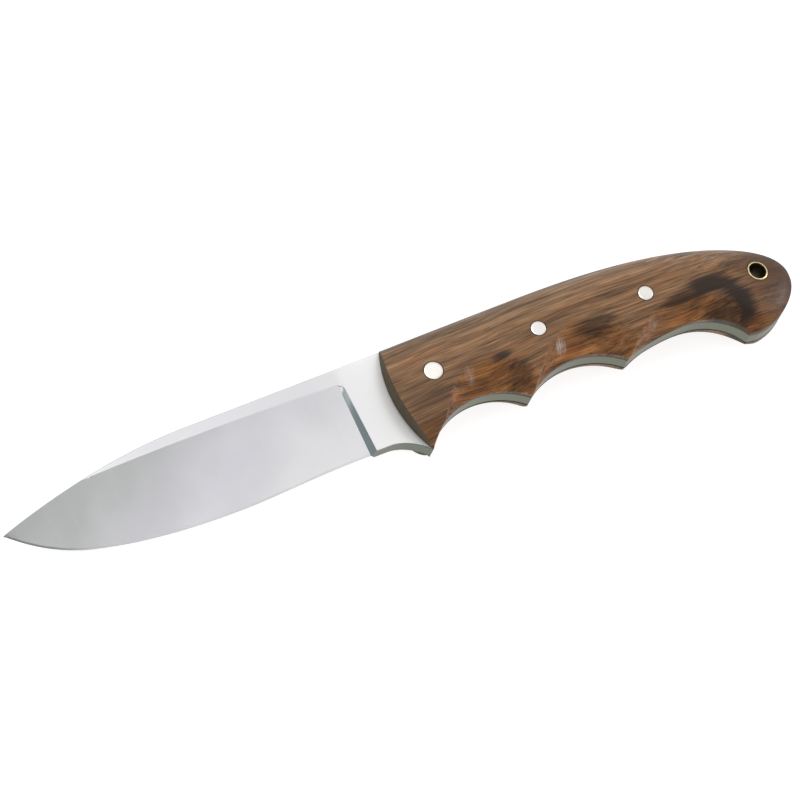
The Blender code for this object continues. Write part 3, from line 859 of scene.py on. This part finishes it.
# ---- Stage ---------------------------------------------------------------------------------------------
# A pale floor without edges, a pale sky that is brighter on the side of the back, three softboxes, and a
# camera with a long lens that looks down at the left side.

CAMERA_AZIMUTH = math.radians(-53.3)
CAMERA_ELEVATION = math.radians(63)
BACK_RISE = math.radians(21.1)  # how steeply the knife's back climbs in the camera's view
AIM = Vector((116.74, -13.64, 0))
VIEW_WIDTH = 209.6
LENS = 1180
SENSOR = 36
FLOOR_REACH = 6  # metres
FLOOR_GAP = 0.0001
FLOOR_GLOW = 0.85
VIEW_DEPTH = 20  # metres


def floor_finish():
    """Pale seamless paper that glows a little, so that it stays even."""
    made, shader, where = finish_of("pale_floor", Roughness=0.7, Specular_IOR_Level=0.1,
                                    Emission_Color=(1, 1, 1, 1), Emission_Strength=FLOOR_GLOW)
    colour = where.noise(0.004, 2.0).graded((0.3, (0.29, 0.29, 0.29)), (0.7, (0.31, 0.31, 0.31)))
    feed(shader, Base_Color=colour)
    return made


sheet = bmesh.new()
bmesh.ops.create_grid(sheet, x_segments=8, y_segments=8, size=FLOOR_REACH)
floor = stood("floor", settled(sheet, "floor"))
floor.data.materials.append(floor_finish())
floor.location.z = min(cad_box[0].z, 0) - FLOOR_GAP

lens = bpy.data.cameras.new("camera")
lens.lens = LENS
lens.sensor_width = SENSOR
lens.clip_end = VIEW_DEPTH
camera = stood("camera", lens)
away = Vector((math.sin(CAMERA_AZIMUTH) * math.cos(CAMERA_ELEVATION),
               -math.cos(CAMERA_AZIMUTH) * math.cos(CAMERA_ELEVATION), math.sin(CAMERA_ELEVATION)))
level = Vector((0, 0, 1)).cross(away).normalized()
raised = away.cross(level)
roll = math.atan2(raised.x, level.x) - BACK_RISE
right = level * math.cos(roll) + raised * math.sin(roll)
upward = raised * math.cos(roll) - level * math.sin(roll)
turn = Matrix((right, upward, away)).transposed().to_4x4()
camera.matrix_world = Matrix.Translation(PLACE + AIM * MM + away * VIEW_WIDTH * MM * LENS / SENSOR) @ turn
bpy.context.scene.camera = camera

SKY_TURN = (0.5, 0.85, 0)
# The greys of the sky, from the side of the edge to the side of the back.
SKY_GREYS = (
    (0.0, (0.35, 0.36, 0.36)),
    (0.25, (0.42, 0.43, 0.43)),
    (0.50, (0.48, 0.49, 0.49)),
    (0.55, (0.52, 0.52, 0.53)),
    (0.635, (0.63, 0.63, 0.65)),
    (0.705, (0.90, 0.89, 0.91)),
    (0.78, (0.88, 0.88, 0.89)),
    (0.90, (0.70, 0.70, 0.71)),
    (1.0, (0.60, 0.61, 0.62)),
)
world = bpy.data.worlds.new("studio")
world.use_nodes = True
direction = Signal(world.node_tree, None).node("TexCoord", output=0)
turned_to = direction.node("VectorMath", {0: direction, 1: SKY_TURN}, output=1, operation="DOT_PRODUCT")
tone = turned_to.between(-1, 1, smooth=False).graded(*SKY_GREYS)
world.node_tree.links.new(tone.socket, world.node_tree.nodes["Background"].inputs["Color"])
bpy.context.scene.world = world

# Each softbox: its place and its two sizes in metres, and its power.
SOFTBOXES = {
    "overhead_softbox": ((-0.2, 0.35, 1.05), (0.6, 0.6), 4.8),
    "low_softbox": ((0.74, -0.14, 0.27), (0.35, 0.35), 3),
    "edge_softbox": ((0.15, -0.37, 0.9), (0.5, 0.22), 0.5),
}
for name, (place, size, power) in SOFTBOXES.items():
    softbox = bpy.data.lights.new(name, "AREA")
    softbox.shape = "RECTANGLE"
    softbox.size, softbox.size_y = size
    softbox.energy = power
    lamp = stood(name, softbox)
    lamp.visible_camera = False
    lamp.location = place
    lamp.rotation_mode = "QUATERNION"
    lamp.rotation_quaternion = lamp.location.to_track_quat("Z", "Y")

bpy.context.scene.view_settings.view_transform = "Standard"
